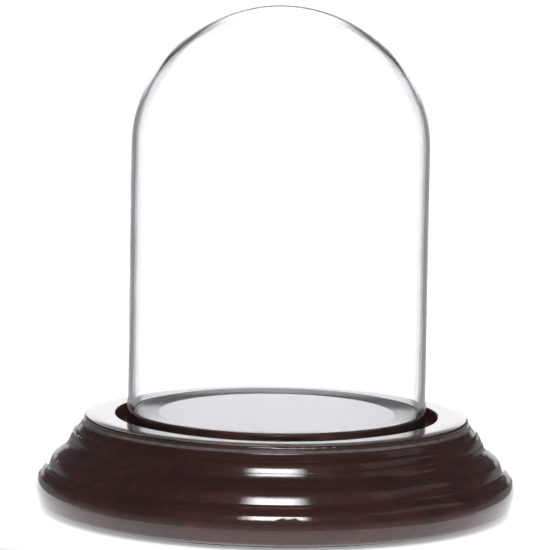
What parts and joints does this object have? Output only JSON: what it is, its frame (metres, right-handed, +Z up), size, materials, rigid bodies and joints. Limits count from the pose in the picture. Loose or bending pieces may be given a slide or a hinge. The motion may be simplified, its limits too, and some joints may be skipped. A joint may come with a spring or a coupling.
{
  "type": "bell jar dome",
  "caption": "Round-topped glass bell jar standing in the ring groove of a turned, lacquered wooden base with a dished display platform; the dome lifts off.",
  "frame": {"origin": "centre of the underside of the felt pad, on the surface the base stands on", "axes": "+Z up along the axis of the dome and the base; X and Y are alike, because every piece is round"},
  "size_m": [0.1606, 0.1606, 0.1696],
  "materials": {
    "lacquered_wood": "dark reddish-brown stain under gloss lacquer",
    "lacquered_wood_platform": "dark reddish-brown stain under gloss lacquer",
    "clear_glass": "clear, blown, fire-polished rim",
    "felt": "pressed felt"
  },
  "bodies": {
    "base": {"turned_base": "lacquered_wood", "display_platform": "lacquered_wood_platform", "felt_pad": "felt"},
    "dome": {"glass_dome": "clear_glass"}
  },
  "joints": [
    {"name": "dome_lift", "type": "slide", "parent": "base", "child": "dome", "axis": [0, 0, 1], "range_m": [0, 0.15]}
  ]
}
